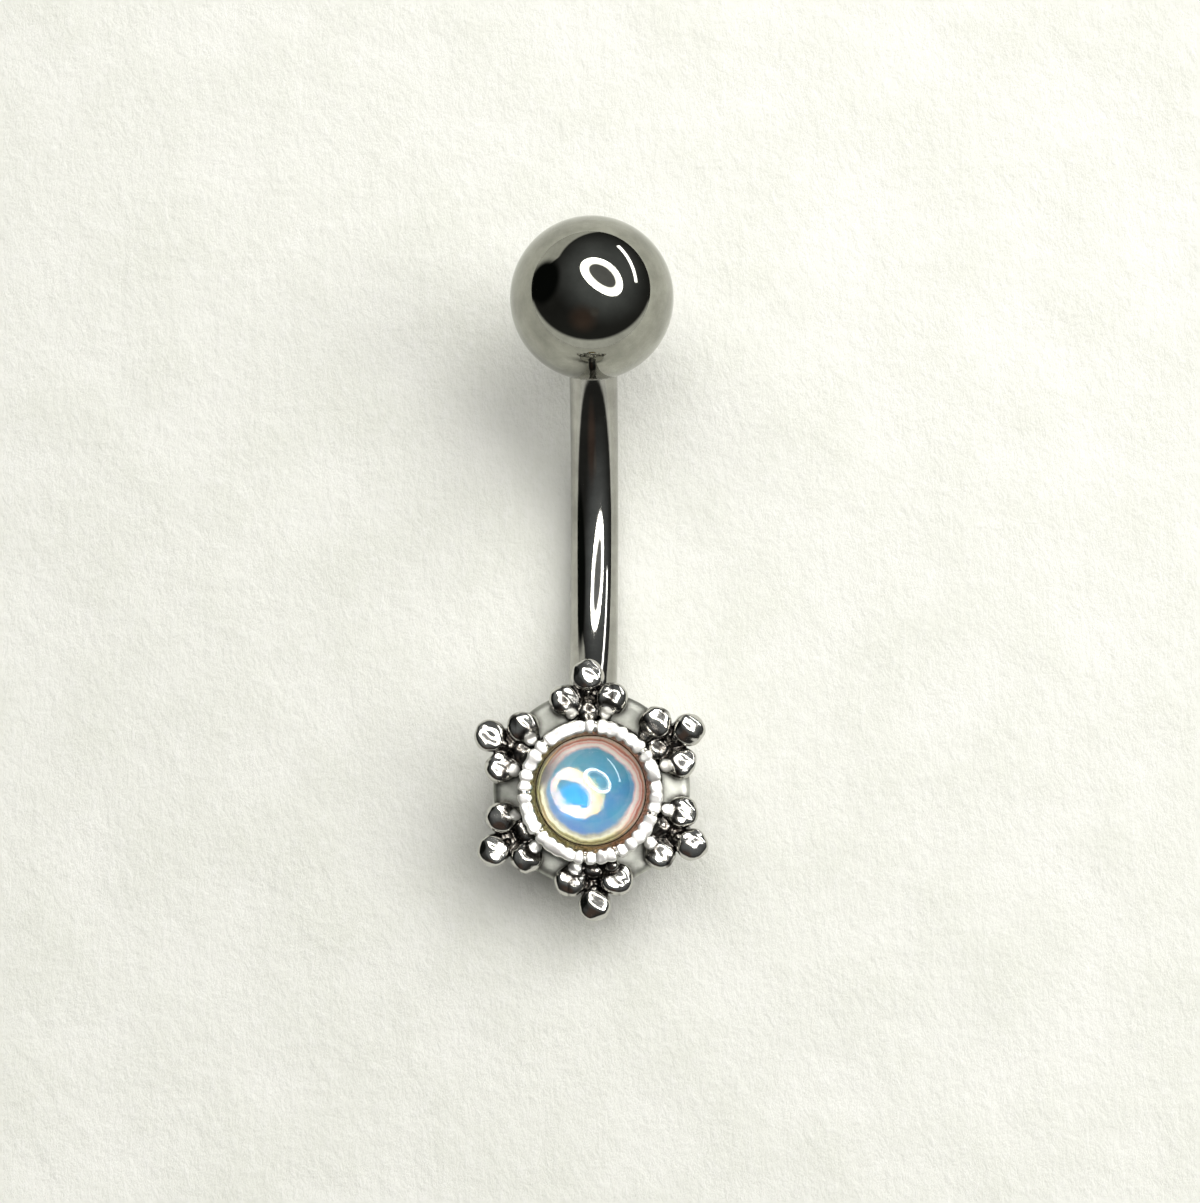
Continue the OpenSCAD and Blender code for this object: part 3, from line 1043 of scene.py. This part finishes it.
def flat_square(name, half, height):
    corners = [(-half, -half, height), (half, -half, height), (half, half, height), (-half, half, height)]
    return new_piece(name, corners, [(0, 1, 2, 3)], Matrix.Identity(4))


# The picture is taken from a little to the right of straight over the part's length
CAMERA_TURN = math.radians(1.6)
picture_turn = tipped @ Matrix.Rotation(CAMERA_TURN, 4, "Y")


def to_picture_way(azimuth, off_axis):
    """A direction off the camera's axis, turned from the picture's right towards its top, in degrees."""
    a, off = math.radians(azimuth), math.radians(off_axis)
    local = Vector((math.cos(a) * math.sin(off), math.sin(a) * math.sin(off), math.cos(off)))
    return (picture_turn @ local).normalized()


def tangent_way(azimuth, off_axis, turn):
    """A direction across to_picture_way's, turned by turn degrees from the picture's right to its top."""
    a, off, apart = (math.radians(angle) for angle in (azimuth, off_axis, turn - azimuth))
    outward = Vector((math.cos(a) * math.cos(off), math.sin(a) * math.cos(off), -math.sin(off)))
    sideways = Vector((-math.sin(a), math.cos(a), 0))
    return (picture_turn @ (math.cos(apart) * outward + math.sin(apart) * sideways)).normalized()


# The lamp is a ring seen at a slant: its way, its long and short way, and its half sizes as sines
RING_PLACE = (59, 29)
RING_WAY = to_picture_way(*RING_PLACE)
RING_LONG_WAY = tangent_way(*RING_PLACE, -40)
RING_SHORT_WAY = tangent_way(*RING_PLACE, 50)
RING_OUTER = (0.53, 0.35)
RING_INNER = (0.355, 0.2)
RING_INNER_SHIFT = 0.01
# Shares of the ring's size between which its body's light grows to its edge's
RING_EDGE = (0.8, 0.83)
# How bright the ring's edge and body look in a mirror, and the whole ring through glass
EDGE_LIGHT = 24.0
BODY_LIGHT = 5.0
GLASS_LIGHT = 26.0
LAMP_COLOUR = (1.0, 0.985, 0.95)
RING_MIDDLE = (0.3, 0.3, 0.3)
STREAK_ENDS = (to_picture_way(63, 83), to_picture_way(17, 67))
STREAK_HALF = math.radians(2.7)
STREAK_SOFT = math.radians(1.0)
STREAK = (10.0, 10.0, 10.0)
# Ceiling, and the paler halo round the lamp with the angles between which it grows
CEILING = (0.034, 0.034, 0.032)
HALO = (0.18, 0.19, 0.195)
HALO_REACH = (1.3, 0.45)
# Patches of the room: way, radius, how much of that is its plain middle, and colour
BULGE = (to_picture_way(163, 74), math.radians(30), 0.65)
PATCHES = (
    (to_picture_way(-110, 37), math.radians(26), 0.2, (0.09, 0.062, 0.05)),
    (to_picture_way(-80, 26), math.radians(9), 0.2, (0.13, 0.12, 0.11)),
    (*BULGE, (0.006, 0.007, 0.006)),
)
# Pale wall low in the picture's upper left, and the dark round area that stands before it
WALL = (to_picture_way(120, 125), math.radians(54))
WALL_COLOUR = (0.8, 0.8, 0.73)
DARK_AREA = (to_picture_way(33, 32), math.radians(79))
BOARD = (0.9, 0.9, 0.84)
BOARD_SLOPE = 0.24
BACKDROP = (0.82, 0.83, 0.79)


def ellipse(tree, where, sizes, shift):
    """How far a direction lies from the lamp's middle, as a share of an ellipse."""
    parts = []
    for way, size, middle in ((RING_LONG_WAY, sizes[0], 0.0), (RING_SHORT_WAY, sizes[1], shift)):
        share = calculated(tree, "MULTIPLY_ADD", dot(tree, where, way), 1 / size, -middle / size)
        parts.append(times(tree, share, share))
    return calculated(tree, "SQRT", calculated(tree, "ADD", *parts))


def lamp_over(tree, where, colour):
    """A colour with the ring lamp and its plain middle painted over it."""
    from_lamp = ellipse(tree, where, RING_OUTER, 0.0)
    ring = times(tree, step_up(tree, from_lamp, 1.04, 0.98),
                 step_up(tree, angle_to(tree, where, RING_WAY), math.pi / 2, 0.9))
    middle = step_up(tree, ellipse(tree, where, RING_INNER, RING_INNER_SHIFT), 1.06, 0.96)
    mirrored = spread(tree, from_lamp, *RING_EDGE, BODY_LIGHT, EDGE_LIGHT)
    in_glass = add(tree, "ShaderNodeLightPath").outputs["Is Transmission Ray"]
    bright = add(tree, "ShaderNodeMix", {0: in_glass, 2: mirrored, 3: GLASS_LIGHT}).outputs[0]
    colour = mixed(tree, ring, colour, scaled(tree, LAMP_COLOUR, bright))
    return mixed(tree, middle, colour, RING_MIDDLE)


def streak_share(tree, where):
    """1 on the bright streak, a band along the great circle between its ends."""
    start, end = STREAK_ENDS
    reach = start.angle(end) / 2
    off_line = angle_to(tree, where, start.cross(end).normalized())
    off_middle = angle_to(tree, where, (start + end).normalized())
    return times(tree, step_up(tree, off_line, math.pi / 2 - STREAK_HALF, math.pi / 2 - STREAK_HALF / 2),
                 step_up(tree, off_line, math.pi / 2 + STREAK_HALF, math.pi / 2 + STREAK_HALF / 2),
                 step_up(tree, off_middle, reach + STREAK_SOFT, reach - STREAK_SOFT))


def wall_share(tree, where):
    """1 on the wall, outside the dark area and the bulge."""
    way, edge = WALL
    dark_way, dark_edge = DARK_AREA
    bulge_way, bulge_edge, plain = BULGE
    return times(tree, step_up(tree, angle_to(tree, where, way), edge, edge * 0.96),
                 step_up(tree, angle_to(tree, where, dark_way), dark_edge * 0.98, dark_edge * 1.02),
                 step_up(tree, angle_to(tree, where, bulge_way), bulge_edge * plain, bulge_edge))


def board_share(tree, where):
    """1 on the pale board below the picture."""
    split = add(tree, "ShaderNodeSeparateXYZ", {0: where}).outputs
    over_board = calculated(tree, "MULTIPLY_ADD", split["Y"], BOARD_SLOPE, split["Z"])
    return times(tree, step_up(tree, split["Y"], 0.0, -0.1), step_up(tree, over_board, 0.05, -0.05))


def build_world():
    world = bpy.data.worlds.new("studio")
    bpy.context.scene.world = world
    world.use_nodes = True
    world.cycles_visibility.diffuse = False
    tree = world.node_tree
    tree.nodes.clear()
    where = add(tree, "ShaderNodeTexCoord").outputs["Generated"]
    colour = mixed(tree, step_up(tree, angle_to(tree, where, RING_WAY), *HALO_REACH), CEILING, HALO)
    for way, edge, plain, paint in PATCHES:
        colour = mixed(tree, step_up(tree, angle_to(tree, where, way), edge, edge * plain), colour, paint)
    colour = mixed(tree, wall_share(tree, where), colour, WALL_COLOUR)
    colour = mixed(tree, board_share(tree, where), colour, BOARD)
    colour = lamp_over(tree, where, colour)
    colour = mixed(tree, streak_share(tree, where), colour, STREAK)
    colour = mixed(tree, add(tree, "ShaderNodeLightPath").outputs["Is Camera Ray"], colour, BACKDROP)
    background = add(tree, "ShaderNodeBackground", {"Color": colour, "Strength": 1.0})
    out = add(tree, "ShaderNodeOutputWorld")
    tree.links.new(background.outputs[0], out.inputs["Surface"])


# Soft lights: name, azimuth and angle off straight up in degrees, distance and size in metres, energy
SOFT_LIGHTS = (
    ("overhead_fill", 59, 18, 1.26, 1.3, 13.8),
    ("right_light", 3, 50, 1.5, 0.8, 7.7),
    ("upper_right_light", 49, 50, 1.5, 0.8, 6.6),
    ("upper_left_light", 130, 40, 1.5, 0.8, 4.4),
)
SOFT_COLOUR = (1.0, 0.99, 0.95)


def soft_light(name, azimuth, off_axis, distance, size, energy):
    """A soft light that polished surfaces don't mirror, pointed at the part."""
    data = bpy.data.lights.new(name, "AREA")
    data.shape = "DISK"
    data.size = size
    data.energy = energy
    data.color = SOFT_COLOUR
    light = bpy.data.objects.new(name, data)
    a, off = math.radians(azimuth), math.radians(off_axis)
    way = Vector((math.sin(off) * math.cos(a), math.sin(off) * math.sin(a), math.cos(off)))
    light.location = distance * way
    light.rotation_mode = "QUATERNION"
    light.rotation_quaternion = way.to_track_quat("Z", "Y")
    light.visible_glossy = False
    light.visible_transmission = False
    light.visible_camera = False
    bpy.context.scene.collection.objects.link(light)


# Camera at the picture's angle to the part, in millimetres
CAMERA_RISE = 80.0
CAMERA_X = 0.25
CAMERA_Y = -2.45
SEEN_WIDTH = 36.6
SENSOR = 36.0


def build_camera():
    data = bpy.data.cameras.new("camera")
    data.sensor_fit = "HORIZONTAL"
    data.sensor_width = SENSOR
    data.lens = SENSOR * CAMERA_RISE / SEEN_WIDTH
    data.clip_start = 0.001
    data.clip_end = 10.0
    camera = bpy.data.objects.new("camera", data)
    bpy.context.scene.collection.objects.link(camera)
    back = Vector((math.sin(CAMERA_TURN), 0, math.cos(CAMERA_TURN)))
    spot = Vector((CAMERA_X, CAMERA_Y, ball_middle.z)) + CAMERA_RISE * back
    camera.matrix_world = Matrix.Translation(TO_FRAME @ spot) @ picture_turn
    bpy.context.scene.camera = camera


# Assembly
def dress(piece, material, body, node):
    piece.data.materials.clear()
    piece.data.materials.append(material)
    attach(piece, body)
    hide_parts(node)


def build_object():
    dress(build_bar(), polished_steel("bar_polish", *BAR_POLISH), "barbell", "bar")
    dress(build_ball(), polished_steel("ball_polish", *BALL_POLISH), "ball", "ball")
    dress(build_setting(), plated_casting("casting_polish"), "barbell", "setting")
    dress(build_foil(), shifting_foil("foil_colours_and_painted_highlights"), "barbell", "foil_back")
    dress(build_stone(), clear_glass("dome_glass"), "barbell", "cabochon")


def build_room():
    floor = flat_square("paper_floor", FLOOR_HALF, FLOOR_Z)
    floor.data.materials.append(paper("pale_paper"))
    build_world()
    for light in SOFT_LIGHTS:
        soft_light(*light)


build_object()
build_room()
build_camera()
scene = bpy.context.scene
scene.view_settings.view_transform = "Standard"
